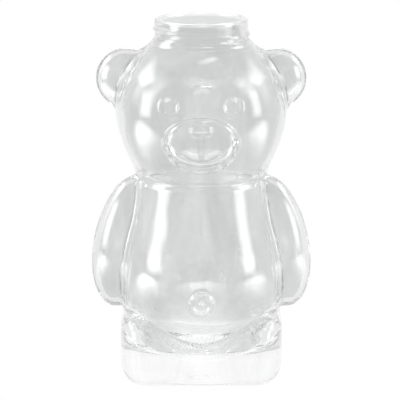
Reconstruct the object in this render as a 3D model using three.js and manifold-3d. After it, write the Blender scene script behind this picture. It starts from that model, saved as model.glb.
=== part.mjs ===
// Bear-shaped bottle of clear glass: a screw neck, a round head with ears, eyes, a muzzle and a nose,
// and a pear-shaped body with arms, legs, a navel and a tail. Head, body, ears, arms and legs are one
// hollow for the drink. Millimetres, +Z up, face towards -Y, origin on the floor under the neck's axis.
// Left and right are as seen from the front.

import * as THREE from 'three';
import { mergeVertices } from 'three/addons/utils/BufferGeometryUtils.js';
import Module from 'manifold-3d';

// Heights, each measured from the one below it
const bodyHeight = 78.5; // floor to waist crease
const headHeight = 51.9; // waist crease to crown
const neckHeight = 9.6; // crown to lip

// Glass thickness
const bulbWall = 2.5; // head and body
const earWall = 2.2;
const armWall = 2.8;
const legWall = 2.8;
const baseThickness = 10; // solid glass under the hollow of the body and legs
const joinGap = 0.35; // between pieces that meet on a curved seam

// Screw neck for a standard 38 mm cap
const threadDiameter = 37.5;
const threadDepth = 1.25;
const threadPitch = 4.23;
const threadTurns = 1.1;
const threadBelowLip = 1.9; // lip to the upper end of the thread's centre line
const neckWall = 2.5; // under the thread
const beadRise = 1.25; // rounded ring under the thread, proud of it
const beadHeight = 2;
const lipRounding = 0.9;

// Head
const headDiameter = 66;
const headEquator = 26.5; // waist crease to the head's widest ring
const waistDiameter = 50;
const jowlTaper = 1.5; // exponent of the cheeks' taper to the waist, higher being slimmer
const earDiameter = 23.2;
const earDepth = 15;
const earHeight = 38.3; // waist crease to the ears' centres
const earSink = 1.8; // ears' centres inside the head's surface
const earSetBack = 1;
const eyeDiameter = 7.4;
const eyeRise = 1.2;
const eyeSpacing = 23.4;
const eyeHeight = 33.4; // waist crease to the eyes' centres
const muzzleWidth = 30.2;
const muzzleTallness = 21.4;
const muzzleRise = 5.6; // muzzle's front proud of the head's surface
const muzzleDepth = 8.5; // muzzle's widest ring to its front
const muzzleHeight = 17.9; // waist crease to the muzzle's centre
const muzzleSquareness = 3.2; // exponent of the muzzle's rounded side, 2 being an ellipse
const noseWidth = 8.6;
const noseTallness = 4.8;
const noseRise = 1.5;
const noseHeight = 23.6; // waist crease to the nose's centre
const mouthLineWidth = 1.3; // groove from the nose to the mouth, and the mouth's curve
const mouthWidth = 13;
const mouthDrop = 2.4; // corners of the mouth above its middle
const mouthHeight = 13.2; // waist crease to the middle of the mouth

// Body
const bellyDiameter = 64.8;
const bellyHeight = 42; // floor to the body's widest ring
const archHeight = 4; // floor to the body's bottom, between the feet
const armBelowWaist = 26; // waist crease to the arms' centres
const armAboveFloor = 27.7; // floor to the arms' lower ends
const armRise = 27; // arms' centres to their tops
const armThickness = 24.4; // across the bear's side
const armDepth = 20; // front to back
const armSink = 1.6; // arms' centres inside the body's surface
const armTilt = THREE.MathUtils.degToRad(11.2); // tops lean in
const navelDiameter = 10;
const navelRise = 1.5;
const navelHollow = 4.4; // diameter of the navel's round hollow
const navelKnob = 2.4; // diameter of the knob in it
const navelHeight = 33.9;
const tailDiameter = 16;
const tailRise = 6.9;
const tailHeight = 31.3;

// Legs
const legSpacing = 34.6; // between the legs' centres
const legWidth = 27.8;
const legDepth = 50;
const legSetForward = 4;
const legEquator = 13; // floor to the legs' widest ring
const legRise = 21.8; // widest ring to the rounded top, inside the belly
const footWidth = 15.3; // flat sole

// Facets
const ringSteps = 36; // round the neck, head and body
const ringRows = 8; // rings on half of the head or body
const formSteps = 20; // round an ear, arm or leg
const smallSteps = 12; // round an eye, nose or navel
const lineSteps = 8; // round the thread or the mouth's groove

// Heights above the floor, and radii
const waistLevel = bodyHeight;
const crownLevel = waistLevel + headHeight;
const lipLevel = crownLevel + neckHeight;
const headLevel = waistLevel + headEquator;
const armLevel = waistLevel - armBelowWaist;
const headRadius = headDiameter / 2;
const waistRadius = waistDiameter / 2;
const crownRadius = threadDiameter / 2 + beadRise;
const rootRadius = threadDiameter / 2 - threadDepth;
const boreRadius = rootRadius - neckWall;
const bellyRadius = bellyDiameter / 2;

const wasm = await Module();
wasm.setup();

// A closed geometry as a solid that can be joined and cut. Corners closer than weldDistance are one.
const weldDistance = 1e-4;
function solidOf(geometry) {
  const bare = geometry.clone();
  bare.deleteAttribute('normal');
  bare.deleteAttribute('uv');
  const welded = mergeVertices(bare, weldDistance);
  const corners = welded.index.array;
  const triangles = [];
  for (let i = 0; i < corners.length; i += 3) {
    const [a, b, c] = [corners[i], corners[i + 1], corners[i + 2]];
    if (a !== b && b !== c && c !== a) triangles.push(a, b, c);
  }
  return new wasm.Manifold(new wasm.Mesh({
    numProp: 3,
    vertProperties: new Float32Array(welded.attributes.position.array),
    triVerts: new Uint32Array(triangles),
  }));
}

// A solid as a named mesh of clear glass.
function glassMesh(name, solid) {
  const { vertProperties, triVerts } = solid.getMesh();
  const geometry = new THREE.BufferGeometry();
  geometry.setAttribute('position', new THREE.BufferAttribute(vertProperties, 3));
  geometry.setIndex(new THREE.BufferAttribute(triVerts, 1));
  geometry.computeVertexNormals();
  const glass = new THREE.MeshStandardMaterial({
    color: 0xe3e7e8,
    roughness: 0.04,
    metalness: 0,
    transparent: true,
    opacity: 0.35,
  });
  const mesh = new THREE.Mesh(geometry, glass);
  mesh.name = name;
  return mesh;
}

// A profile of [radius, height] points turned about the Z axis.
function turned(profile, steps) {
  const points = profile.map(([radius, height]) => new THREE.Vector2(radius, height));
  return new THREE.LatheGeometry(points, steps).rotateX(Math.PI / 2);
}

// Values spread evenly from one end to the other, both ends included.
function spread(from, to, count) {
  return Array.from({ length: count }, (_, i) => from + (to - from) * i / (count - 1));
}

// An ellipsoid about the Z axis with its own half height above and below its widest ring. A squareness
// over 2 gives it flatter ends and a fuller side.
function roundForm({ halfX, halfY, up, down = up, squareness = 2, steps = formSteps }) {
  const rows = Math.round(steps / 2) + 1;
  const profile = spread(-Math.PI / 2, Math.PI / 2, rows).map((angle) => {
    const radius = Math.abs(Math.cos(angle)) ** (2 / squareness);
    const height = Math.abs(Math.sin(angle)) ** (2 / squareness);
    return [radius, angle < 0 ? -height * down : height * up];
  });
  profile[0][0] = 0;
  profile[rows - 1][0] = 0;
  return turned(profile, steps).scale(halfX, halfY, 1);
}

// Radius of the head at one height, with its widest and crown radii given: above the widest ring an ellipse
// that passes through the crown's ring, below it cheeks that taper to the waist.
function skullRadius(height, widest, crown, waist) {
  if (height > headLevel) {
    const reach = (crownLevel - headLevel) / Math.sqrt(1 - (crown / widest) ** 2);
    return widest * Math.sqrt(Math.max(0, 1 - ((height - headLevel) / reach) ** 2));
  }
  const fall = Math.min(1, (headLevel - height) / headEquator);
  return waist + (widest - waist) * (1 - fall ** 2) ** jowlTaper;
}

// Head's outer radius at one height, and that of its hollow, which meets the neck's bore.
function headRadiusAt(height) {
  return skullRadius(height, headRadius, crownRadius, waistRadius);
}
function headHollowAt(height) {
  return skullRadius(height, headRadius - bulbWall, boreRadius, waistRadius - bulbWall);
}

// Body's radius at one height, drawn in by inset and closed at bottom: a smooth step from waist to belly,
// and below it half an ellipse.
function bodyRadiusAt(height, inset = 0, bottom = archHeight) {
  if (height > bellyHeight) {
    const share = THREE.MathUtils.smoothstep(height, bellyHeight, waistLevel);
    return THREE.MathUtils.lerp(bellyRadius, waistRadius, share) - inset;
  }
  const fall = (bellyHeight - height) / (bellyHeight - bottom);
  return (bellyRadius - inset) * Math.sqrt(Math.max(0, 1 - fall ** 2));
}

// Side of the head from waist to crown, and of the body from its bottom to the waist, as profile points.
// The body's rings lie closer where the round bottom turns in.
const headRings = spread(waistLevel, crownLevel, 2 * ringRows - 3);
function headSide(grow) {
  return headRings.map((height) => [headRadiusAt(height) + grow, height]);
}
function bodySide(inset, bottom) {
  const turnIn = spread(0, Math.PI / 2, ringRows).map((angle) => Math.cos(angle));
  const lower = turnIn.map((share) => bellyHeight - (bellyHeight - bottom) * share);
  const upper = spread(bellyHeight, waistLevel, ringRows).slice(1);
  return [...lower, ...upper].map((height) => [bodyRadiusAt(height, inset, bottom), height]);
}

// Full solids of the head and the body, swollen by grow, that cut what meets them.
function headBlock(grow) {
  return solidOf(turned([[0, waistLevel], ...headSide(grow), [0, crownLevel]], ringSteps));
}
function bodyBlock(grow) {
  return solidOf(turned([...bodySide(-grow, archHeight - grow), [0, waistLevel]], ringSteps));
}

// Everything lower than a level, as a block that cuts a form flat.
const blockSize = 4 * bellyDiameter;
function groundBelow(level) {
  const block = new THREE.BoxGeometry(blockSize, blockSize, blockSize);
  return solidOf(block.translate(0, 0, level - blockSize / 2));
}

// Turns a form that stands on the XY plane to the outward normal of a turned surface and sets it there.
// Bearing 0 is the front, and positive bearings go to the right.
function setOnSurface(form, radiusAt, height, bearing) {
  const probe = 0.1;
  const radius = radiusAt(height);
  const slope = (radiusAt(height + probe) - radiusAt(height - probe)) / (2 * probe);
  const outward = new THREE.Vector3(Math.sin(bearing), -Math.cos(bearing), -slope).normalize();
  const turn = new THREE.Quaternion().setFromUnitVectors(new THREE.Vector3(0, 0, 1), outward);
  form.applyQuaternion(turn);
  return form.translate(radius * Math.sin(bearing), -radius * Math.cos(bearing), height);
}

// Centre line of the screw thread, a right-handed helix, from its upper end down.
class ThreadPath extends THREE.Curve {
  getPoint(share, target = new THREE.Vector3()) {
    const angle = share * threadTurns * 2 * Math.PI;
    const height = lipLevel - threadBelowLip - threadPitch * angle / (2 * Math.PI);
    return target.set(-rootRadius * Math.sin(angle), -rootRadius * Math.cos(angle), height);
  }
}

// Screw neck: a straight tube with a rounded lip, a rounded bead at its foot and one raised thread.
function makeNeck() {
  const beadSide = spread(-Math.PI / 2, Math.PI / 2, 7).map((angle) => [
    rootRadius + (crownRadius - rootRadius) * Math.cos(angle),
    crownLevel + beadHeight * (1 + Math.sin(angle)) / 2,
  ]);
  beadSide[0] = [crownRadius - joinGap, crownLevel];
  const lipSide = spread(0, Math.PI / 2, 4).map((angle) => [
    rootRadius - lipRounding * (1 - Math.cos(angle)),
    lipLevel - lipRounding * (1 - Math.sin(angle)),
  ]);
  const lipInside = spread(Math.PI / 2, 0, 4).map((angle) => [
    boreRadius + lipRounding * (1 - Math.cos(angle)),
    lipLevel - lipRounding * (1 - Math.sin(angle)),
  ]);
  const foot = [boreRadius, crownLevel];
  const profile = [foot, ...beadSide, ...lipSide, ...lipInside, foot];
  const section = new THREE.Shape().absarc(0, 0, threadDepth, 0, 2 * Math.PI);
  const thread = new THREE.ExtrudeGeometry(section, {
    extrudePath: new ThreadPath(),
    steps: Math.round(ringSteps * threadTurns),
    curveSegments: lineSteps / 2,
  });
  return solidOf(turned(profile, ringSteps)).add(solidOf(thread));
}

// Outer form of an ear, or its hollow when drawn in by inset.
function earForm(side, inset) {
  const level = waistLevel + earHeight;
  const radius = earDiameter / 2 - inset;
  const form = roundForm({ halfX: radius, halfY: earDepth / 2 - inset, up: radius });
  return solidOf(form.translate(side * (headRadiusAt(level) - earSink), earSetBack, level));
}

// Outer form of an arm, or its hollow when drawn in by inset.
function armForm(side, inset) {
  const form = roundForm({
    halfX: armThickness / 2 - inset,
    halfY: armDepth / 2 - inset,
    up: armRise - inset,
    down: armLevel - armAboveFloor - inset,
  });
  form.rotateY(-side * armTilt);
  return solidOf(form.translate(side * (bodyRadiusAt(armLevel) - armSink), 0, armLevel));
}

// Outer form of a leg with its flat sole, or its hollow with a flat floor when drawn in by inset. The
// ellipsoid below the widest ring reaches just so far under the floor that the sole has its width.
function legForm(side, inset, floor) {
  const drop = legEquator / Math.sqrt(1 - (footWidth / legWidth) ** 2);
  const form = roundForm({
    halfX: legWidth / 2 - inset,
    halfY: legDepth / 2 - inset,
    up: legRise - inset,
    down: drop - inset,
  });
  form.translate(side * legSpacing / 2, -legSetForward, legEquator);
  return solidOf(form).subtract(groundBelow(floor));
}

// Muzzle: an upright oval cushion, swollen by grow, on the front of the head.
const muzzleLevel = waistLevel + muzzleHeight;
const muzzleFront = headRadiusAt(muzzleLevel) + muzzleRise;
function muzzleForm(grow) {
  const form = roundForm({
    halfX: muzzleWidth / 2 + grow,
    halfY: muzzleTallness / 2 + grow,
    up: muzzleDepth + grow,
    squareness: muzzleSquareness,
  });
  return solidOf(form.rotateX(Math.PI / 2).translate(0, muzzleDepth - muzzleFront, muzzleLevel));
}

// Groove under the nose and the mouth's upturned curve, as round bars that cut half their width in.
function mouthLines() {
  const level = waistLevel + mouthHeight;
  const depth = -muzzleFront;
  const section = new THREE.Shape().absarc(0, 0, mouthLineWidth / 2, 0, 2 * Math.PI);
  const at = (x, z) => new THREE.Vector3(x, depth, z);
  const corner = level + mouthDrop;
  const smile = new THREE.QuadraticBezierCurve3(
    at(-mouthWidth / 2, corner),
    at(0, 2 * level - corner),
    at(mouthWidth / 2, corner),
  );
  const groove = new THREE.LineCurve3(at(0, level), at(0, waistLevel + noseHeight));
  const bar = (extrudePath, steps) => solidOf(
    new THREE.ExtrudeGeometry(section, { extrudePath, steps, curveSegments: lineSteps / 2 }),
  );
  return bar(smile, lineSteps).add(bar(groove, 1));
}

// Nose: a small oval pad on the upper slope of the muzzle.
function makeNose() {
  const level = waistLevel + noseHeight;
  const share = Math.min(1, Math.abs(level - muzzleLevel) / (muzzleTallness / 2)) ** muzzleSquareness;
  const slopeFront = muzzleFront - muzzleDepth * (1 - (1 - share) ** (1 / muzzleSquareness));
  const form = roundForm({
    halfX: noseWidth / 2,
    halfY: noseTallness / 2,
    up: 2 * noseRise,
    steps: smallSteps,
  });
  const place = form.rotateX(Math.PI / 2).translate(0, noseRise - slopeFront, level);
  return solidOf(place).subtract(muzzleForm(joinGap)).subtract(headBlock(joinGap));
}

// Eye: a shallow round lens on the head.
function makeEye(side) {
  const level = waistLevel + eyeHeight;
  const bearing = side * Math.asin(eyeSpacing / 2 / headRadiusAt(level));
  const radius = eyeDiameter / 2;
  const form = roundForm({ halfX: radius, halfY: radius, up: eyeRise, steps: smallSteps });
  return solidOf(setOnSurface(form, headRadiusAt, level, bearing)).subtract(headBlock(joinGap));
}

// Navel: a raised ring with a round hollow and a small knob in its middle.
function makeNavel() {
  const outer = navelDiameter / 2;
  const inner = navelHollow / 2;
  const crest = (outer + inner) / 2;
  const floor = navelRise / 2;
  const knobRadius = navelKnob / 2;
  const ring = spread(0, Math.PI, 7).map((angle) => [
    crest + (outer - crest) * Math.cos(angle),
    floor + (navelRise - floor) * Math.sin(angle),
  ]);
  const knob = spread(0, Math.PI / 2, 4).map((angle) => [
    knobRadius * Math.cos(angle),
    floor + (navelRise - floor) * Math.sin(angle),
  ]);
  knob[3][0] = 0;
  const profile = [[0, -navelRise], [outer, -navelRise], ...ring, ...knob];
  const form = setOnSurface(turned(profile, smallSteps), bodyRadiusAt, navelHeight, 0);
  return solidOf(form).subtract(bodyBlock(joinGap));
}

// Tail: a round knob on the back of the body.
function makeTail() {
  const radius = tailDiameter / 2;
  const form = roundForm({ halfX: radius, halfY: radius, up: radius });
  form.translate(0, bodyRadiusAt(tailHeight) + tailRise - radius, tailHeight);
  return solidOf(form).subtract(bodyBlock(joinGap));
}

// Shells of the head and the body, open to each other at the waist and to their ears and limbs.
const sides = { left: -1, right: 1 };
function makeHead() {
  const outside = headSide(0);
  const hollow = headRings.map((height) => [headHollowAt(height), height]).reverse();
  const shell = solidOf(turned([...outside, ...hollow, outside[0]], ringSteps));
  return Object.values(sides).reduce((solid, side) => solid.subtract(earForm(side, earWall)), shell);
}
function makeBody() {
  const hollow = bodySide(bulbWall, baseThickness).reverse();
  const shell = solidOf(turned([...bodySide(0, archHeight), ...hollow], ringSteps));
  return Object.values(sides).reduce((solid, side) => solid
    .subtract(armForm(side, armWall))
    .subtract(legForm(side, legWall, baseThickness)), shell);
}

// Hollow ears, arms and legs, trimmed where they run into the head and the body.
function makeEar(side) {
  return earForm(side, 0).subtract(earForm(side, earWall)).subtract(headBlock(joinGap));
}
function makeLeg(side) {
  return legForm(side, 0, 0).subtract(legForm(side, legWall, baseThickness)).subtract(bodyBlock(joinGap));
}
function makeArm(side) {
  return armForm(side, 0)
    .subtract(armForm(side, armWall))
    .subtract(bodyBlock(joinGap))
    .subtract(headBlock(joinGap))
    .subtract(legForm(side, -joinGap, 0));
}

const head = new THREE.Group();
head.add(glassMesh('head', makeHead()));
head.add(glassMesh('muzzle', muzzleForm(0).subtract(mouthLines()).subtract(headBlock(joinGap))));
head.add(glassMesh('nose', makeNose()));

const body = new THREE.Group();
body.add(glassMesh('body', makeBody()));
body.add(glassMesh('navel', makeNavel()));
body.add(glassMesh('tail', makeTail()));

for (const [name, side] of Object.entries(sides)) {
  head.add(glassMesh(`${name}_ear`, makeEar(side)));
  head.add(glassMesh(`${name}_eye`, makeEye(side)));
  body.add(glassMesh(`${name}_arm`, makeArm(side)));
  body.add(glassMesh(`${name}_leg`, makeLeg(side)));
}

const bear = new THREE.Group();
bear.add(glassMesh('neck', makeNeck()), head, body);

export default bear;
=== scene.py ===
"""Bear-shaped drinking bottle of clear glass, standing on a white studio table.

The bottle is one casting, so it is one closed skin of glass here. A fan of sight lines leaves the
bottle's axis. Each line is cut where it meets the outside of the glass and where it meets the hollow,
and the lip joins the two. Lengths are in millimetres until a mesh is made, and then in metres.
"""

import math

import bpy
import numpy as np
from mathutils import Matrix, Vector


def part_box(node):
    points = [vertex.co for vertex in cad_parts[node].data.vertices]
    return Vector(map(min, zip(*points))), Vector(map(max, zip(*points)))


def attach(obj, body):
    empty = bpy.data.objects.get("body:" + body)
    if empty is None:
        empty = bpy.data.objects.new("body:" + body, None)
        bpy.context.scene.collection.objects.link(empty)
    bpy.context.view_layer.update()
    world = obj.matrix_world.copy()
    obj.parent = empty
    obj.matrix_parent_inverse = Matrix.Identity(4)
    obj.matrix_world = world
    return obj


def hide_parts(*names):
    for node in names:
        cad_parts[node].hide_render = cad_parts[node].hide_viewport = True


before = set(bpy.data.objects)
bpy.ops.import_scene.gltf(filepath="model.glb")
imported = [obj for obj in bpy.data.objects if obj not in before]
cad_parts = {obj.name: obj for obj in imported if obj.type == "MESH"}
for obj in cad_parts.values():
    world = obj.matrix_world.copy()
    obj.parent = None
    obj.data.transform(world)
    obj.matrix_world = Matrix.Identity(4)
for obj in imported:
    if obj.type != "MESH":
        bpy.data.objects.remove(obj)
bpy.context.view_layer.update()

MM = 0.001
TINY = 1e-6


def node_box(node):
    """Lowest and highest corner of a CAD node in millimetres."""
    low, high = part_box(node)
    return np.array(low) / MM, np.array(high) / MM


neck_high = node_box("neck")[1]
head_low, head_high = node_box("head")
body_high = node_box("body")[1]
muzzle_low, muzzle_high = node_box("muzzle")
nose_low, nose_high = node_box("nose")
navel_low, navel_high = node_box("navel")
tail_low, tail_high = node_box("tail")

# Levels and radii of head and body
LIP = neck_high[2]
CROWN = head_high[2]
WAIST = head_low[2]
EQUATOR = WAIST + 26.5
HEAD_RADIUS = head_high[0]
CHEEK_POWER = 1.5
LEAST_SQUARE = 0.05
WAIST_RADIUS = 25.0
BELLY_RADIUS = body_high[0]
BELLY_HEIGHT = 42.0
BELLY_BOTTOM = 2.6
SLOPE_STEP = 0.2
CREASE_WIDTH = 1.3
CREASE_OUTSIDE = 1.1
CREASE_INSIDE = -0.2

# Flatter front of the head
FACE_POWER = 2.4
FACE_EASE_BELOW = 12.0
FACE_EASE_ABOVE = 14.0
FACE_EASE_SIDES = 12.0

# Walls, floor and waves of the glass
BULB_WALL = 2.5
LIMB_WALL = 2.8
EAR_WALL = 2.2
LEAST_WALL = 1.5
LEAST_WALL_ROUNDING = 1.0
BELLY_HOLLOW_BOTTOM = 14.8
BELLY_HOLLOW_POWER = 2.6
FLOOR_OF_HOLLOW = 12.6
FLOOR_ROUNDING = 2.0
OUTER_WAVES = 0.05
INNER_WAVES = 0.07
INNER_SHIFT = 7.0

# Neck, lip and screw thread
NECK_ROOT = 18.0
NECK_BORE = 15.0
NECK_FOOT = 20.0
NECK_MELT = 0.8
NECK_MELT_RANGE = (-6.0, 1.0)
BORE_MELT = 4.0
BORE_MELT_RANGE = (-9.0, 5.0)
BEAD_START = 0.4
BEAD_RISE = 1.6
BEAD_WIDTH = 1.3
LIP_ROUNDING = 0.7
LIP_POWER = 0.5
LIP_STEPS = 9
THREAD_DEPTH = 0.6
THREAD_PITCH = 4.23
THREAD_TURNS = 1.25
THREAD_BELOW_LIP = 2.7
THREAD_HALF_WIDTH = 1.5
THREAD_FADE = 0.2

# Ears and arms
EAR_CENTRE = np.array([28.86, 1.0, WAIST + 38.3])
EAR_HALF = np.array([11.6, 7.5, 11.6])
EAR_MELT = 2.6
EAR_HOLLOW_MELT = 3.5
ARM_CENTRE = np.array([29.3, 0.0, WAIST - 26.0])
ARM_HALF = np.array([12.2, 10.0, 27.0])
ARM_DROP = 24.8
ARM_LEAN = math.radians(11.2)
ARM_MELT = 2.2
ARM_HOLLOW_MELT = 4.0

# Legs, the pocket of the hollow above them and the web of glass between them
LEG_CENTRE = np.array([17.3, -4.0, 13.0])
LEG_HALF = np.array([13.8, 24.2, 11.6])
LEG_DROP = 14.6
LEG_POWER = 3.0
LEG_MELT = 1.8
HIP_SLOPE = 0.5
HIP_START = 9.0
HIP_EASE = 12.0
SOLE_ROUNDING = 1.6
POCKET_CENTRE = np.array([0.0, -4.0, 19.0])
POCKET_HALF = np.array([28.2, 21.4, 5.0])
POCKET_DROP = 8.0
POCKET_POWER = 3.6
POCKET_MELT = 4.0
WEB_CENTRE = np.array([0.0, -4.0, 10.0])
WEB_HALF = np.array([15.0, 22.8, 8.2])
WEB_DROP = 14.0
WEB_POWER = 3.2
WEB_MELT = 3.5
ARCH_HEIGHT = 1.0
ARCH_ROUNDING = 1.2

# Muzzle, mouth, nose and eyes
MUZZLE_LOWER = 0.3
MUZZLE_CENTRE = np.array([0.0, -28.9, 0.5 * (muzzle_low[2] + muzzle_high[2]) - MUZZLE_LOWER])
MUZZLE_HALF = np.array([14.7, 8.3, 11.3])
MUZZLE_POWER = 3.4
MUZZLE_MELT = 0.8
MUZZLE_WALL = np.array([3.1, 3.0, 3.1])
MUZZLE_HOLLOW_POWER = 2.8
MUZZLE_HOLLOW_MELT = 3.0
LINE_FRONT = 31.0
LINE_FRONT_FADE = 3.0
LINE_WIDTH = 0.9
LINE_DEPTH = 0.6
LINE_FADE = 1.6
MOUTH_BELOW_CENTRE = 4.7
MOUTH_DEPTH = 0.25
MOUTH_HALF_WIDTH = 6.5
MOUTH_RISE = 2.4
MOUTH_END = 7.4
MOUTH_FADE = 1.8
NOSE_CENTRE = np.array([0.0, muzzle_low[1] + 0.3, 0.5 * (nose_low[2] + nose_high[2])])
NOSE_HALF = np.array([4.3, 1.8, 2.4])
NOSE_MELT = 0.9
EYE_CENTRE = np.array([11.7, -30.6, 110.4])
EYE_RADIUS = 3.8
EYE_DEPTH = 1.0
EYE_RIM = 0.25
EYE_RIM_WIDTH = 0.2
EYE_REACH = 8.0

# Navel and tail
NAVEL_HEIGHT = 0.5 * (navel_low[2] + navel_high[2])
NAVEL_RING_RADIUS = 3.8
NAVEL_RING_RISE = 1.7
NAVEL_RING_WIDTH = 0.95
NAVEL_KNOB_RISE = 1.4
NAVEL_KNOB_WIDTH = 1.1
NAVEL_FRONT = 20.0
NAVEL_FRONT_FADE = 5.0
TAIL_HEIGHT = 0.5 * (tail_low[2] + tail_high[2])
TAIL_RADIUS = 7.6
TAIL_RISE = 5.2
TAIL_POWER = 3.2
TAIL_BACK = 18.0
TAIL_BACK_FADE = 6.0


def melt(a, b, soft):
    """Two forms run together: the smaller of two distances, rounded where they differ by less than soft."""
    share = np.clip(0.5 + 0.5 * (b - a) / soft, 0.0, 1.0)
    return b + (a - b) * share - soft * share * (1.0 - share)


def keep(a, b, soft):
    """What two forms have in common: the larger of two distances, rounded in the same way."""
    return -melt(-a, -b, soft)


def ease(x):
    """Smooth step from 0 to 1: 3 x squared minus 2 x cubed, held at its ends."""
    x = np.clip(x, 0.0, 1.0)
    return x * x * (3.0 - 2.0 * x)


def hump(x, width):
    """Bell curve: e to the minus square of x over width."""
    return np.exp(-((x / width) ** 2))


def mirrored(p):
    """The same points folded onto the right half, so one form serves both sides."""
    return np.stack([np.abs(p[..., 0]), p[..., 1], p[..., 2]], axis=-1)


def egg(p, centre, half, drop=None, lean=0.0):
    """Distance to an ellipsoid: n (n - 1) / g, with n the length of p over half and g that over half
    squared. Below its centre it may have another height, drop, and it may lean inwards about Y."""
    q = p - centre
    if lean:
        across = q[..., 0] * math.cos(lean) + q[..., 2] * math.sin(lean)
        along = q[..., 2] * math.cos(lean) - q[..., 0] * math.sin(lean)
        q = np.stack([across, q[..., 1], along], axis=-1)
    size = np.broadcast_to(half, q.shape).copy()
    if drop:
        size[..., 2] = np.where(q[..., 2] < 0.0, drop, half[2])
    n = np.linalg.norm(q / size, axis=-1)
    g = np.linalg.norm(q / size**2, axis=-1)
    return n * (n - 1.0) / np.maximum(g, TINY)


def cushion(p, centre, half, power):
    """Distance to a rounded oval cushion: x and z make an ellipse, which meets y by a higher power.
    The distance is taken along the line to the centre."""
    q = (p - centre) / half
    oval = np.sqrt(q[..., 0] ** 2 + q[..., 2] ** 2)
    n = (oval**power + np.abs(q[..., 1]) ** power) ** (1.0 / power)
    return np.linalg.norm(p - centre, axis=-1) * (1.0 - 1.0 / np.maximum(n, TINY))


def pillow(p, centre, half, drop, power):
    """Distance to a boxy ellipsoid: the three halves joined by a power, taken along the line to its centre.
    Below its centre it has another height, drop."""
    q = p - centre
    size = np.broadcast_to(half, q.shape).copy()
    size[..., 2] = np.where(q[..., 2] < 0.0, drop, half[2])
    n = (np.abs(q / size) ** power).sum(axis=-1) ** (1.0 / power)
    return np.linalg.norm(q, axis=-1) * (1.0 - 1.0 / np.maximum(n, TINY))


def hips(p):
    """Points moved down by a share of how far out they are, so that a form made from them rises towards its
    outer side. The share eases in above the base."""
    rise = HIP_SLOPE * (np.abs(p[..., 0]) - LEG_CENTRE[0]) * ease((p[..., 2] - HIP_START) / HIP_EASE)
    return np.stack([p[..., 0], p[..., 1], p[..., 2] - rise], axis=-1)


def bowl(out, up, radius, depth, power):
    """Distance to a full round bowl: radius and depth joined by a power, taken along the line to its
    middle."""
    n = ((np.abs(out) / radius) ** power + (np.abs(up) / depth) ** power) ** (1.0 / power)
    return np.hypot(out, up) * (1.0 - 1.0 / np.maximum(n, TINY))


def trunk_radius(z, wall):
    """Radius of head and body at each height: an ellipse over the head, a soft taper under its cheeks,
    an eased slope from waist to belly."""
    widest = HEAD_RADIUS - wall
    opening = NECK_FOOT - wall
    rise = (CROWN - EQUATOR) / math.sqrt(1.0 - (opening / widest) ** 2)
    over = widest * np.sqrt(np.clip(1.0 - ((z - EQUATOR) / rise) ** 2, LEAST_SQUARE, 1.0))
    fall = np.clip((EQUATOR - z) / (EQUATOR - WAIST), 0.0, 1.0)
    under = WAIST_RADIUS - wall + (HEAD_RADIUS - WAIST_RADIUS) * (1.0 - fall**2) ** CHEEK_POWER
    slope = ease((z - BELLY_HEIGHT) / (WAIST - BELLY_HEIGHT))
    torso = BELLY_RADIUS - wall + (WAIST_RADIUS - BELLY_RADIUS) * slope
    radius = np.where(z > EQUATOR, over, np.where(z > WAIST, under, torso))
    crease = CREASE_OUTSIDE if wall == 0.0 else CREASE_INSIDE
    return radius - crease * hump(z - WAIST, CREASE_WIDTH)


def plan_radius(p):
    """Distance from the axis in plan. The front of the head is a little flatter than round: there, x and y
    are joined by a power that rises from 2 to a larger one, eased in from waist, crown and sides."""
    z = p[..., 2]
    share = ease((z - WAIST) / FACE_EASE_BELOW) * ease((CROWN - z) / FACE_EASE_ABOVE)
    share = share * ease(-p[..., 1] / FACE_EASE_SIDES)
    power = 2.0 + (FACE_POWER - 2.0) * share
    across = np.maximum(np.abs(p[..., 0]), TINY)
    along = np.maximum(np.abs(p[..., 1]), TINY)
    return (across**power + along**power) ** (1.0 / power)


def thread(p):
    """Height of the screw ridge above the neck: a squared cosine on a helix that starts at the front under
    the lip, runs down clockwise as seen from above, and fades at both ends."""
    turn = np.mod(np.arctan2(-p[..., 0], -p[..., 1]), 2.0 * math.pi) / (2.0 * math.pi)
    height = np.zeros_like(turn)
    for lap in (0.0, 1.0):
        along = turn + lap
        middle = LIP - THREAD_BELOW_LIP - THREAD_PITCH * along
        fade = ease(along / THREAD_FADE) * ease((THREAD_TURNS - along) / THREAD_FADE)
        across = np.clip((p[..., 2] - middle) / THREAD_HALF_WIDTH, -1.0, 1.0)
        round_part = np.cos(0.5 * math.pi * across) ** 2
        height = np.maximum(height, THREAD_DEPTH * fade * round_part)
    return height


def trunk(p, wall):
    """Distance to head, body and neck: radial distance over the length of the profile's slope. Under the
    belly the outside is an ellipsoid and the hollow a fuller bowl. Head and neck melt together at the
    crown."""
    z = p[..., 2]
    out = plan_radius(p)
    run = 2.0 * SLOPE_STEP
    steep = (trunk_radius(z + SLOPE_STEP, wall) - trunk_radius(z - SLOPE_STEP, wall)) / run
    bulbs = (out - trunk_radius(z, wall)) / np.sqrt(1.0 + steep**2)
    if wall == 0.0:
        bead = BEAD_RISE * hump(np.maximum(z - CROWN - BEAD_START, 0.0), BEAD_WIDTH)
        tube = out - (NECK_ROOT + bead + thread(p))
        belly_half = np.array([BELLY_RADIUS, BELLY_RADIUS, BELLY_HEIGHT - BELLY_BOTTOM])
        belly = egg(p, np.array([0.0, 0.0, BELLY_HEIGHT]), belly_half)
        soft = NECK_MELT
        low, high = NECK_MELT_RANGE
    else:
        tube = out - NECK_BORE
        depth = BELLY_HEIGHT - BELLY_HOLLOW_BOTTOM
        belly = bowl(out, z - BELLY_HEIGHT, BELLY_RADIUS - wall, depth, BELLY_HOLLOW_POWER)
        soft = BORE_MELT
        low, high = BORE_MELT_RANGE
    bulbs = np.where(z < BELLY_HEIGHT, belly, bulbs)
    crown = np.where(z > CROWN + low, melt(bulbs, tube, soft), bulbs)
    return np.where(z > CROWN + high, tube, crown)


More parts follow.
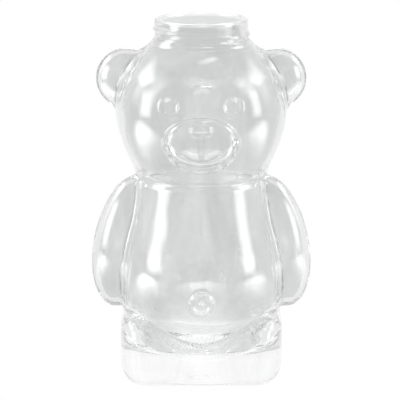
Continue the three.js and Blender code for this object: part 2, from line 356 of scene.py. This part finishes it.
def face_lines(p):
    """Depth of the lines on the muzzle: one from the nose down to the mouth, and a smiling arc."""
    x = p[..., 0]
    z = p[..., 2]
    mouth = MUZZLE_CENTRE[2] - MOUTH_BELOW_CENTRE
    on_front = ease((-p[..., 1] - LINE_FRONT) / LINE_FRONT_FADE)
    above_mouth = ease((z - mouth + 0.5 * LINE_FADE) / LINE_FADE)
    line = hump(x, LINE_WIDTH) * above_mouth * ease((NOSE_CENTRE[2] - z) / LINE_FADE)
    smile = z - mouth - MOUTH_RISE * (x / MOUTH_HALF_WIDTH) ** 2
    arc = hump(smile, LINE_WIDTH) * ease((MOUTH_END - np.abs(x)) / MOUTH_FADE)
    return on_front * np.maximum(LINE_DEPTH * line, MOUTH_DEPTH * arc)


def eye_relief(p, centre, normal):
    """Height of an eye over the face: a round dimple, 1 minus the square of the distance from its axis,
    inside a low bell-shaped rim."""
    q = p - centre
    depth = q @ normal
    aside = np.sqrt(np.maximum((q**2).sum(axis=-1) - depth**2, 0.0)) / EYE_RADIUS
    dimple = EYE_DEPTH * np.clip(1.0 - aside**2, 0.0, 1.0)
    rim = EYE_RIM * hump(aside - 1.0, EYE_RIM_WIDTH)
    return (rim - dimple) * (np.abs(depth) < EYE_REACH)


def navel(p):
    """Height of the navel: a round ring with a knob in its middle, both bell curves about one axis."""
    aside = np.hypot(p[..., 0], p[..., 2] - NAVEL_HEIGHT)
    ring = NAVEL_RING_RISE * hump(aside - NAVEL_RING_RADIUS, NAVEL_RING_WIDTH)
    knob = NAVEL_KNOB_RISE * hump(aside, NAVEL_KNOB_WIDTH)
    return (ring + knob) * ease((-p[..., 1] - NAVEL_FRONT) / NAVEL_FRONT_FADE)


def tail(p):
    """Height of the tail on the back: e to the minus of the distance from its axis to a power."""
    aside = np.hypot(p[..., 0], p[..., 2] - TAIL_HEIGHT) / TAIL_RADIUS
    on_back = ease((p[..., 1] - TAIL_BACK) / TAIL_BACK_FADE)
    return TAIL_RISE * np.exp(-(aside**TAIL_POWER)) * on_back


def unevenness(p, size):
    """Slight waves of blown glass: a few crossed sine waves of long wavelength."""
    x = p[..., 0]
    y = p[..., 1]
    z = p[..., 2]
    slow = np.sin(0.21 * x + 0.13 * z + 0.6) * np.sin(0.17 * y - 0.19 * z + 1.1)
    quick = np.sin(0.47 * x - 0.31 * y + 2.0) * np.sin(0.39 * z + 0.28 * x)
    return size * (slow + 0.45 * quick)


def outside(p):
    """Distance to the outside of the glass."""
    side = mirrored(p)
    form = trunk(p, 0.0)
    form = melt(form, egg(side, EAR_CENTRE, EAR_HALF), EAR_MELT)
    form = melt(form, egg(side, ARM_CENTRE, ARM_HALF, ARM_DROP, ARM_LEAN), ARM_MELT)
    form = melt(form, pillow(hips(side), LEG_CENTRE, LEG_HALF, LEG_DROP, LEG_POWER), LEG_MELT)
    web = pillow(p, WEB_CENTRE, WEB_HALF, WEB_DROP, WEB_POWER)
    form = melt(form, keep(web, ARCH_HEIGHT - p[..., 2], ARCH_ROUNDING), WEB_MELT)
    form = form - tail(p)
    snout = cushion(p, MUZZLE_CENTRE, MUZZLE_HALF, MUZZLE_POWER) + face_lines(p)
    snout = melt(snout, egg(p, NOSE_CENTRE, NOSE_HALF), NOSE_MELT)
    form = melt(form, snout, MUZZLE_MELT)
    from_middle = EYE_CENTRE - np.array([0.0, 0.0, EQUATOR])
    form = form - eye_relief(side, EYE_CENTRE, from_middle / np.linalg.norm(from_middle))
    form = form - navel(p)
    form = form + unevenness(p, OUTER_WAVES)
    return keep(form, -p[..., 2], SOLE_ROUNDING)


def hollow(p):
    """Distance to the wall of the hollow, which stays away from the outside by about a least thickness."""
    side = mirrored(p)
    form = trunk(p, BULB_WALL)
    form = melt(form, egg(side, EAR_CENTRE, EAR_HALF - EAR_WALL), EAR_HOLLOW_MELT)
    arm = egg(side, ARM_CENTRE, ARM_HALF - LIMB_WALL, ARM_DROP - LIMB_WALL, ARM_LEAN)
    form = melt(form, arm, ARM_HOLLOW_MELT)
    pocket = pillow(hips(p), POCKET_CENTRE, POCKET_HALF, POCKET_DROP, POCKET_POWER)
    form = melt(form, pocket, POCKET_MELT)
    snout = cushion(p, MUZZLE_CENTRE, MUZZLE_HALF - MUZZLE_WALL, MUZZLE_HOLLOW_POWER)
    form = melt(form, snout, MUZZLE_HOLLOW_MELT)
    form = form - tail(p)
    form = keep(form, FLOOR_OF_HOLLOW - p[..., 2], FLOOR_ROUNDING)
    form = form + unevenness(p[..., [1, 0, 2]] + INNER_SHIFT, INNER_WAVES)
    return keep(form, outside(p) + LEAST_WALL, LEAST_WALL_ROUNDING)


# Fan of sight lines
FAR_REACH = 62.0
FIRST_REACH = 1.0
NEAR_REACH = 0.5
SIGHT_STEPS = 64
STEP_SHARE = 0.72
FINE_ANGLES = 4001
FACE_DENSITY = 1.25
FACE_ANGLE = 0.85
FACE_ANGLE_FADE = 0.35
EAR_DENSITY = 0.5
EAR_ANGLE = 1.55
EAR_ANGLE_WIDTH = 0.3


def fan_columns(count):
    """Angles round the axis, measured from the front: closer together at the face and at the ears, by the
    inverse of a running sum of the wanted density."""
    fine = np.linspace(-math.pi, math.pi, FINE_ANGLES)
    wanted = 1.0 + FACE_DENSITY * ease((FACE_ANGLE - np.abs(fine)) / FACE_ANGLE_FADE)
    wanted = wanted + EAR_DENSITY * hump(np.abs(fine) - EAR_ANGLE, EAR_ANGLE_WIDTH)
    steps = 0.5 * (wanted[1:] + wanted[:-1])
    total = np.concatenate([[0.0], np.cumsum(steps)])
    return np.interp(np.arange(count) / count, total / total[-1], fine)


def fan_rows(stops):
    """Heights on the axis and elevations of the rows of sight lines. Between two stops, the height that a
    line leaves from and the radius and height that it aims at move evenly, in the given number of rows."""
    leave = []
    aim = []
    for here, after in zip(stops[:-1], stops[1:]):
        share = np.arange(here[3]) / here[3]
        leave.append(here[0] + (after[0] - here[0]) * share)
        aim.append(np.array(here[1:3]) + np.outer(share, np.subtract(after[1:3], here[1:3])))
    leave = np.concatenate(leave)
    aim = np.concatenate(aim)
    return leave, np.arctan2(aim[:, 1] - leave, aim[:, 0])


def sight_points(heights, tilts, angles, reach):
    """Points at a given reach along each sight line."""
    flat = reach * np.cos(tilts)[:, None]
    x = flat * np.sin(angles)[None, :]
    y = -flat * np.cos(angles)[None, :]
    z = heights[:, None] + reach * np.sin(tilts)[:, None]
    return np.stack([x, y, z], axis=-1)


def meet_from_outside(form, heights, tilts, angles):
    """Reach at which each sight line, followed inwards, first meets a form: steps of most of the distance
    to it."""
    reach = np.full((len(heights), len(angles)), FAR_REACH)
    for _ in range(SIGHT_STEPS):
        reach = reach - STEP_SHARE * form(sight_points(heights, tilts, angles, reach))
        reach = np.maximum(reach, NEAR_REACH)
    return reach


def meet_from_inside(form, heights, tilts, angles):
    """Reach at which each sight line, followed outwards, first meets the wall of a hollow."""
    reach = np.full((len(heights), len(angles)), FIRST_REACH)
    for _ in range(SIGHT_STEPS):
        reach = reach - STEP_SHARE * form(sight_points(heights, tilts, angles, reach))
        reach = np.clip(reach, NEAR_REACH, FAR_REACH)
    return reach


def lip_rows(angles, steps):
    """The rounded lip: a half turn from the outside of the neck over its top to the bore."""
    swing = np.linspace(0.0, math.pi, steps)
    bend = np.sign(np.cos(swing)) * np.abs(np.cos(swing)) ** LIP_POWER
    radius = 0.5 * (NECK_ROOT + NECK_BORE) + 0.5 * (NECK_ROOT - NECK_BORE) * bend
    height = LIP - LIP_ROUNDING + LIP_ROUNDING * np.sin(swing)
    x = radius[:, None] * np.sin(angles)[None, :]
    y = -radius[:, None] * np.cos(angles)[None, :]
    z = np.broadcast_to(height[:, None], x.shape)
    return np.stack([x, y, z], axis=-1)


def skin_mesh(name, rows):
    """Closed skin from rows of points that run from the outer pole to the inner pole, each a closed ring.
    The two poles are the middles of the first and last ring."""
    count_rows, count_columns = rows.shape[:2]
    foot = rows[0].mean(axis=0)
    floor = rows[-1].mean(axis=0)
    points = np.concatenate([rows.reshape(-1, 3), foot[None], floor[None]])
    here = np.arange(count_columns)
    after = np.roll(here, -1)
    base = (np.arange(count_rows - 1) * count_columns)[:, None]
    corners = [base + here, base + after, base + count_columns + after, base + count_columns + here]
    quads = np.stack(corners, axis=-1).reshape(-1, 4)
    foot_at = count_rows * count_columns
    last = (count_rows - 1) * count_columns
    foot_fan = np.stack([np.full(count_columns, foot_at), after, here], axis=-1)
    floor_fan = np.stack([np.full(count_columns, foot_at + 1), last + here, last + after], axis=-1)
    mesh = bpy.data.meshes.new(name)
    mesh.from_pydata((points * MM).tolist(), [], quads.tolist() + foot_fan.tolist() + floor_fan.tolist())
    mesh.polygons.foreach_set("use_smooth", np.ones(len(mesh.polygons), dtype=bool))
    mesh.validate()
    mesh.update()
    return mesh


# Stops of the fan: height left from, radius and height aimed at, number of rows up to the next stop
COLUMNS = 236
LOWEST_START = 22.0
POLE_RADIUS = 0.8
OUTER_STOPS = [
    (LOWEST_START, POLE_RADIUS, 0.0, 12),
    (LOWEST_START, 28.0, 0.0, 34),
    (30.0, 31.0, 23.4, 28),
    (40.0, 33.0, 36.5, 20),
    (56.0, 30.0, 56.0, 22),
    (72.0, 25.5, 76.0, 8),
    (88.0, 25.5, 79.5, 32),
    (95.0, 34.0, 95.0, 24),
    (98.0, 33.0, 107.0, 30),
    (104.0, 25.4, 125.3, 12),
    (CROWN + 0.2, 19.8, CROWN + 0.2, 30),
    (LIP - LIP_ROUNDING, NECK_ROOT, LIP - LIP_ROUNDING, 0),
]
INNER_STOPS = [
    (LOWEST_START, POLE_RADIUS, FLOOR_OF_HOLLOW, 10),
    (LOWEST_START, 24.0, FLOOR_OF_HOLLOW, 24),
    (30.0, 26.0, 23.4, 16),
    (40.0, 29.5, 37.0, 12),
    (56.0, 27.0, 56.0, 18),
    (72.0, 23.0, 76.0, 5),
    (88.0, 23.0, 79.5, 18),
    (95.0, 31.0, 95.0, 14),
    (98.0, 30.5, 107.0, 16),
    (104.0, 23.0, 122.5, 12),
    (CROWN + 2.0, 15.5, CROWN + 2.0, 5),
    (LIP - LIP_ROUNDING, NECK_BORE, LIP - LIP_ROUNDING, 0),
]


def make_vessel():
    """The whole bottle as one skin of glass: outside, lip and hollow joined row by row."""
    angles = fan_columns(COLUMNS)
    heights, tilts = fan_rows(OUTER_STOPS)
    outer = sight_points(heights, tilts, angles, meet_from_outside(outside, heights, tilts, angles))
    lip = lip_rows(angles, LIP_STEPS)
    heights, tilts = fan_rows(INNER_STOPS)
    inner = sight_points(heights, tilts, angles, meet_from_inside(hollow, heights, tilts, angles))
    return skin_mesh("vessel", np.concatenate([outer, lip, inner[::-1]]))


# Tones of the glass, with painted light and painted shade among them, and the heights and ranges over which
# they change
WHITE = (1.0, 1.0, 1.0, 1.0)
STREAK_GREY = (0.75, 0.755, 0.755, 1.0)
STREAK_PALE = (0.855, 0.86, 0.86, 1.0)
NECK_GREY = (0.75, 0.755, 0.755, 1.0)
# painted light: lighter tone on the lower belly
BELLY_PAINTED_LIGHT = (0.97, 0.975, 0.975, 1.0)
# painted light: the tone the walls take at grazing angles, so that edges show bright
GRAZING_PAINTED_LIGHT = (0.85, 0.855, 0.855, 1.0)
BASE_GREY = (0.90, 0.905, 0.905, 1.0)
# painted shade: greyer base at grazing angles, drawing dark outlines
BASE_EDGE_PAINTED_SHADE = (0.78, 0.785, 0.785, 1.0)
SHADOW_GREY = (0.93, 0.93, 0.93, 1.0)
BELLY_LIGHT_SPOT = (0.0, -24.0 * MM, 22.0 * MM)
BELLY_LIGHT_FADE = (6.0 * MM, 20.0 * MM)
# heights over which the painted light of the nearly clear base gives way to the walls
BASE_LIGHT_FADE = (11.0 * MM, 17.0 * MM)
LEG_FADE = (22.0 * MM, 32.0 * MM)
NECK_FADE = ((CROWN - 4.4) * MM, (CROWN + 2.6) * MM)
# heights over which the lip turns white, a painted highlight
LIP_LIGHT_FADE = ((LIP - 1.6) * MM, (LIP - LIP_ROUNDING) * MM)
GRAZING_FADE = (0.25, 0.9)
BOUNCE_FADE = (7.0, 26.0)
NECK_GRAZING = 0.2
LEG_GRAZING = 0.3
# painted shade: share of the tone left after many bounces
BOUNCE_PAINTED_SHADE = 0.4
LARGEST_ROUGHNESS = 0.025


def empty_material(name):
    """A new material without nodes but its output, with its nodes and links."""
    material = bpy.data.materials.new(name)
    material.use_nodes = True
    nodes = material.node_tree.nodes
    nodes.clear()
    return material, nodes, material.node_tree.links, nodes.new("ShaderNodeOutputMaterial")


def span(nodes, links, value, start, end, low, high, kind="SMOOTHSTEP"):
    """A value carried over to another range: low up to start, high from end on, eased or linear between."""
    step = nodes.new("ShaderNodeMapRange")
    step.interpolation_type = kind
    step.inputs["From Min"].default_value = start
    step.inputs["From Max"].default_value = end
    step.inputs["To Min"].default_value = low
    step.inputs["To Max"].default_value = high
    links.new(value, step.inputs["Value"])
    return step.outputs["Result"]


def towards(nodes, links, share, colour, other):
    """A colour mixed towards another fixed colour by a share."""
    mix = nodes.new("ShaderNodeMix")
    mix.data_type = "RGBA"
    links.new(share, mix.inputs["Factor"])
    links.new(colour, mix.inputs["A"])
    mix.inputs["B"].default_value = other
    return mix.outputs["Result"]


def combined(nodes, links, operation, first, second):
    """Two values joined by an operation, such as their product or the larger of them."""
    join = nodes.new("ShaderNodeMath")
    join.operation = operation
    links.new(first, join.inputs[0])
    links.new(second, join.inputs[1])
    return join.outputs["Value"]


def ramp(nodes, links, value, start, first, end, last):
    """A colour that runs from first at start to last at end."""
    scale = nodes.new("ShaderNodeValToRGB")
    scale.color_ramp.elements[0].position = start
    scale.color_ramp.elements[0].color = first
    scale.color_ramp.elements[1].position = end
    scale.color_ramp.elements[1].color = last
    links.new(value, scale.inputs["Fac"])
    return scale.outputs["Color"]


def noise(nodes, links, place, scale, detail):
    """A noise texture of a given scale and detail at a place."""
    texture = nodes.new("ShaderNodeTexNoise")
    texture.inputs["Scale"].default_value = scale
    texture.inputs["Detail"].default_value = detail
    links.new(place, texture.inputs["Vector"])
    return texture


def streaks(nodes, links, place):
    """Noise drawn out along the height of the bottle and leaning a little, like swirls in blown glass."""
    flow = nodes.new("ShaderNodeMapping")
    flow.inputs["Scale"].default_value = (1.0, 1.0, 0.35)
    flow.inputs["Rotation"].default_value = (0.0, 0.35, 0.0)
    links.new(place, flow.inputs["Vector"])
    streak = noise(nodes, links, flow.outputs["Vector"], scale=70.0, detail=4.0)
    streak.inputs["Roughness"].default_value = 0.65
    streak.inputs["Distortion"].default_value = 0.8
    return streak.outputs["Fac"]


def wall_tone(nodes, links, place, height, streak, grazing, bounces):
    """Tone of the walls: grey streaks, painted light that makes the lower belly lighter, darker at the neck
    and a painted highlight that makes the lip white.
    Painted light makes it lighter at grazing angles, less so at neck and legs, and painted shade makes it
    darker after many bounces."""
    tone = ramp(nodes, links, streak, 0.40, STREAK_GREY, 0.66, STREAK_PALE)
    from_belly = nodes.new("ShaderNodeVectorMath")
    from_belly.operation = "DISTANCE"
    from_belly.inputs[1].default_value = BELLY_LIGHT_SPOT
    links.new(place, from_belly.inputs[0])
    # painted light: the lower belly drawn lighter around a spot
    painted_belly_light = span(nodes, links, from_belly.outputs["Value"], *BELLY_LIGHT_FADE, 1.0, 0.0)
    tone = towards(nodes, links, painted_belly_light, tone, BELLY_PAINTED_LIGHT)
    at_neck = span(nodes, links, height, *NECK_FADE, 0.0, 1.0)
    tone = towards(nodes, links, at_neck, tone, NECK_GREY)
    # painted highlight: the lip drawn white
    painted_lip_light = span(nodes, links, height, *LIP_LIGHT_FADE, 0.0, 1.0)
    tone = towards(nodes, links, painted_lip_light, tone, WHITE)
    # painted light: lighter edges at grazing angles, spared at neck and legs
    spare_neck = span(nodes, links, at_neck, 0.0, 1.0, 1.0, NECK_GRAZING, "LINEAR")
    spare_legs = span(nodes, links, height, *LEG_FADE, LEG_GRAZING, 1.0)
    painted_edge_light = combined(nodes, links, "MULTIPLY", grazing, spare_neck)
    painted_edge_light = combined(nodes, links, "MULTIPLY", painted_edge_light, spare_legs)
    tone = towards(nodes, links, painted_edge_light, tone, GRAZING_PAINTED_LIGHT)
    # painted shade: darker after many bounces
    bounce_shade = nodes.new("ShaderNodeMix")
    bounce_shade.data_type = "RGBA"
    bounce_shade.blend_type = "MULTIPLY"
    bounce_shade.inputs["Factor"].default_value = 1.0
    links.new(tone, bounce_shade.inputs["A"])
    links.new(span(nodes, links, bounces, *BOUNCE_FADE, 1.0, BOUNCE_PAINTED_SHADE, "LINEAR"), bounce_shade.inputs["B"])
    return bounce_shade.outputs["Result"]


def base_tone(nodes, links, streak, grazing):
    """Tone of the thick base: painted light keeps it nearly clear, with faint streaks, and painted shade
    makes it greyer at grazing angles.
    """
    # painted light: the base drawn nearly clear, with faint streaks
    tone = ramp(nodes, links, streak, 0.36, BASE_GREY, 0.60, WHITE)
    # painted shade: greyer at grazing angles
    return towards(nodes, links, grazing, tone, BASE_EDGE_PAINTED_SHADE)


def clear_glass_material():
    """Clear, fire-polished glass with a faint grey cast that differs between walls and base, with painted
    light and shade in it: the base, lower belly and lip are painted lighter, edges lighter at grazing
    angles, and long bounces darker. Slight ripples bend what is seen through it, and shadow rays pass
    straight through."""
    material, nodes, links, output = empty_material("clear_glass")
    glass = nodes.new("ShaderNodeBsdfPrincipled")
    glass.inputs["Metallic"].default_value = 0.0
    glass.inputs["Transmission Weight"].default_value = 1.0
    glass.inputs["IOR"].default_value = 1.5
    path = nodes.new("ShaderNodeLightPath")
    place = nodes.new("ShaderNodeTexCoord").outputs["Object"]
    level = nodes.new("ShaderNodeSeparateXYZ")
    links.new(place, level.inputs["Vector"])
    height = level.outputs["Z"]
    edge = nodes.new("ShaderNodeLayerWeight")
    edge.inputs["Blend"].default_value = 0.5
    grazing = span(nodes, links, edge.outputs["Facing"], *GRAZING_FADE, 0.0, 1.0)
    streak = streaks(nodes, links, place)
    walls = wall_tone(nodes, links, place, height, streak, grazing, path.outputs["Ray Depth"])
    tone = nodes.new("ShaderNodeMix")
    tone.data_type = "RGBA"
    # painted light: the nearly clear base takes over from the walls below these heights
    links.new(span(nodes, links, height, *BASE_LIGHT_FADE, 1.0, 0.0), tone.inputs["Factor"])
    links.new(walls, tone.inputs["A"])
    links.new(base_tone(nodes, links, streak, grazing), tone.inputs["B"])
    links.new(tone.outputs["Result"], glass.inputs["Base Color"])

    cast = noise(nodes, links, place, scale=22.0, detail=1.0)
    polish = span(nodes, links, cast.outputs["Fac"], 0.0, 1.0, 0.0, LARGEST_ROUGHNESS, "LINEAR")
    links.new(polish, glass.inputs["Roughness"])
    ripple = noise(nodes, links, place, scale=120.0, detail=2.0)
    bump = nodes.new("ShaderNodeBump")
    bump.inputs["Strength"].default_value = 0.12
    bump.inputs["Distance"].default_value = 0.6 * MM
    links.new(ripple.outputs["Fac"], bump.inputs["Height"])
    links.new(bump.outputs["Normal"], glass.inputs["Normal"])

    through = nodes.new("ShaderNodeBsdfTransparent")
    through.inputs["Color"].default_value = SHADOW_GREY
    choose = nodes.new("ShaderNodeMixShader")
    links.new(path.outputs["Is Shadow Ray"], choose.inputs["Fac"])
    links.new(glass.outputs["BSDF"], choose.inputs[1])
    links.new(through.outputs["BSDF"], choose.inputs[2])
    links.new(choose.outputs["Shader"], output.inputs["Surface"])
    return material


# Table and surroundings, in metres
TABLE_HALF = 6.0
TABLE_WHITE = (0.80, 0.80, 0.80, 1.0)
TABLE_GLOW_FADE = (0.05, 0.3)
TABLE_GLOW_UNDER = 0.9
FILL_STRENGTH = 0.45


def seen_directly(nodes, links, path):
    """1 for camera, glossy and transmission rays, 0 for the rays that light a surface."""
    first = combined(nodes, links, "MAXIMUM", path.outputs["Is Camera Ray"], path.outputs["Is Glossy Ray"])
    return combined(nodes, links, "MAXIMUM", first, path.outputs["Is Transmission Ray"])


def table_material():
    """White table: matt white that takes shadows, with a glow for the rays that see it directly. The glow
    is a little weaker under the bottle."""
    material, nodes, links, output = empty_material("white_table")
    matt = nodes.new("ShaderNodeBsdfDiffuse")
    matt.inputs["Color"].default_value = TABLE_WHITE
    path = nodes.new("ShaderNodeLightPath")
    away = nodes.new("ShaderNodeVectorMath")
    away.operation = "LENGTH"
    links.new(nodes.new("ShaderNodeTexCoord").outputs["Object"], away.inputs[0])
    far = span(nodes, links, away.outputs["Value"], *TABLE_GLOW_FADE, TABLE_GLOW_UNDER, 1.0)
    lift = combined(nodes, links, "MULTIPLY", seen_directly(nodes, links, path), far)
    glow = nodes.new("ShaderNodeEmission")
    glow.inputs["Color"].default_value = WHITE
    blend = nodes.new("ShaderNodeMixShader")
    links.new(lift, blend.inputs["Fac"])
    links.new(matt.outputs["BSDF"], blend.inputs[1])
    links.new(glow.outputs["Emission"], blend.inputs[2])
    links.new(blend.outputs["Shader"], output.inputs["Surface"])
    return material


def studio_world():
    """White surroundings where they are seen directly or through the glass, and a soft fill elsewhere."""
    world = bpy.data.worlds.new("studio")
    bpy.context.scene.world = world
    world.use_nodes = True
    nodes = world.node_tree.nodes
    links = world.node_tree.links
    nodes.clear()
    output = nodes.new("ShaderNodeOutputWorld")
    backdrop = nodes.new("ShaderNodeBackground")
    backdrop.inputs["Color"].default_value = WHITE
    path = nodes.new("ShaderNodeLightPath")
    seen = seen_directly(nodes, links, path)
    strength = span(nodes, links, seen, 0.0, 1.0, FILL_STRENGTH, 1.0, "LINEAR")
    links.new(strength, backdrop.inputs["Strength"])
    links.new(backdrop.outputs["Background"], output.inputs["Surface"])


def point_at(thing, place, target):
    """Puts a lamp or camera at a place and turns it towards a target."""
    thing.location = place
    thing.rotation_euler = (Vector(target) - Vector(place)).to_track_quat("-Z", "Y").to_euler()


# Lamps, in metres
LAMP_AIM = (0.0, 0.0, 0.08)
LOW_LAMP_HEIGHT = 0.004
LAMP_FADE_START = 0.14
LOW_LAMP_FADE_END = 0.7
FREE_LAMP_FADE_END = 5.0
LIGHT_BOUNCES = 128


def soft_panel(name, place, target, width, tall, power, blur=0.4, rise=0.4):
    """Soft panel of light, bright in its middle and fading to its edges, over blur of its width and rise of
    its height. It also fades with the distance from the bottle, sooner where it lies on the table. Only a
    panel on the table is seen through the glass, and the others show as reflections."""
    on_table = place[2] <= LOW_LAMP_HEIGHT
    lamp = bpy.data.lights.new(name, "AREA")
    lamp.shape = "RECTANGLE"
    lamp.size = width
    lamp.size_y = tall
    lamp.energy = power
    lamp.use_nodes = True
    nodes = lamp.node_tree.nodes
    links = lamp.node_tree.links
    across = nodes.new("ShaderNodeNewGeometry")
    split = nodes.new("ShaderNodeSeparateXYZ")
    links.new(across.outputs["Parametric"], split.inputs["Vector"])
    fades = []
    for axis, fade_share in (("X", blur), ("Y", rise)):
        edge = nodes.new("ShaderNodeMath")
        edge.operation = "PINGPONG"
        edge.inputs[1].default_value = 0.5
        links.new(split.outputs[axis], edge.inputs[0])
        fades.append(span(nodes, links, edge.outputs["Value"], 0.0, fade_share, 0.0, 1.0))
    away = nodes.new("ShaderNodeVectorMath")
    away.operation = "LENGTH"
    links.new(across.outputs["Position"], away.inputs[0])
    fade_end = LOW_LAMP_FADE_END if on_table else FREE_LAMP_FADE_END
    near = span(nodes, links, away.outputs["Value"], LAMP_FADE_START, fade_end, 1.0, 0.0)
    glow = combined(nodes, links, "MULTIPLY", *fades)
    glow = combined(nodes, links, "MULTIPLY", glow, near)
    links.new(glow, nodes["Emission"].inputs["Strength"])
    panel = bpy.data.objects.new(name, lamp)
    bpy.context.scene.collection.objects.link(panel)
    point_at(panel, place, target)
    panel.visible_transmission = on_table


bpy.context.scene.view_settings.view_transform = "Standard"
studio_world()

# Camera, in metres, with its sensor in millimetres
VIEW_DISTANCE = 3.0
VIEW_WIDTH = 0.154
VIEW_ELEVATION = math.radians(9.7)
VIEW_TARGET = Vector((-0.0005, 0.0, 0.0693))
SENSOR_WIDTH = 36.0
camera_data = bpy.data.cameras.new("camera")
camera = bpy.data.objects.new("camera", camera_data)
bpy.context.scene.collection.objects.link(camera)
bpy.context.scene.camera = camera
camera_data.sensor_width = SENSOR_WIDTH
camera_data.lens = SENSOR_WIDTH * VIEW_DISTANCE / VIEW_WIDTH
camera_data.clip_start = 0.05
camera_data.clip_end = 50.0
view_offset = Vector((0.0, -math.cos(VIEW_ELEVATION), math.sin(VIEW_ELEVATION))) * VIEW_DISTANCE
point_at(camera, VIEW_TARGET + view_offset, VIEW_TARGET)

for side, name, share in ((-1.0, "left", 1.0), (1.0, "right", 0.85)):
    place = (side * 0.705, -0.26, 0.24)
    strip_width = 0.48 * share
    soft_panel(name + "_strip", place, LAMP_AIM, strip_width, tall=0.62, power=9.5 * share**2, rise=0.33)
    place = (side * 0.75, 0.06, 0.50)
    soft_panel(name + "_panel", place, LAMP_AIM, width=0.5, tall=0.9, power=5.0 * share)
    place = (side * 0.62, 0.16, 0.60)
    soft_panel(name + "_high_panel", place, LAMP_AIM, width=0.7, tall=0.4, power=6.3 * share)
    place = (side * 0.38, -0.05, LOW_LAMP_HEIGHT)
    above = (side * 0.38, -0.05, 1.0)
    soft_panel(name + "_low_panel", place, above, width=0.60, tall=0.22, power=3.0 * share**2, blur=0.28)
soft_panel("back_panel", (0.0, 0.95, 0.62), (0.0, 0.0, 0.13), width=0.4, tall=0.35, power=3.2)
place = (0.0, -0.29, LOW_LAMP_HEIGHT)
soft_panel("front_low_panel", place, (0.0, -0.29, 1.0), width=0.3, tall=0.4, power=1.5)
soft_panel("front_lamp", (0.07, -0.9, 0.9), (0.0, 0.0, 0.1), width=0.16, tall=0.06, power=0.5)
soft_panel("top_lamp", (0.14, -0.15, 1.15), (0.0, 0.0, 0.1), width=0.5, tall=0.18, power=1.6)
bpy.context.scene.cycles.max_bounces = LIGHT_BOUNCES
bpy.context.scene.cycles.transmission_bounces = LIGHT_BOUNCES
bpy.context.scene.cycles.glossy_bounces = LIGHT_BOUNCES

table_mesh = bpy.data.meshes.new("table")
signs = ((-1.0, -1.0), (1.0, -1.0), (1.0, 1.0), (-1.0, 1.0))
corners = [(x * TABLE_HALF, y * TABLE_HALF, 0.0) for x, y in signs]
table_mesh.from_pydata(corners, [], [(0, 1, 2, 3)])
table = bpy.data.objects.new("table", table_mesh)
bpy.context.scene.collection.objects.link(table)
table_mesh.materials.append(table_material())

vessel_mesh = make_vessel()
vessel = bpy.data.objects.new("vessel", vessel_mesh)
bpy.context.scene.collection.objects.link(vessel)
vessel_mesh.materials.append(clear_glass_material())
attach(vessel, "root")
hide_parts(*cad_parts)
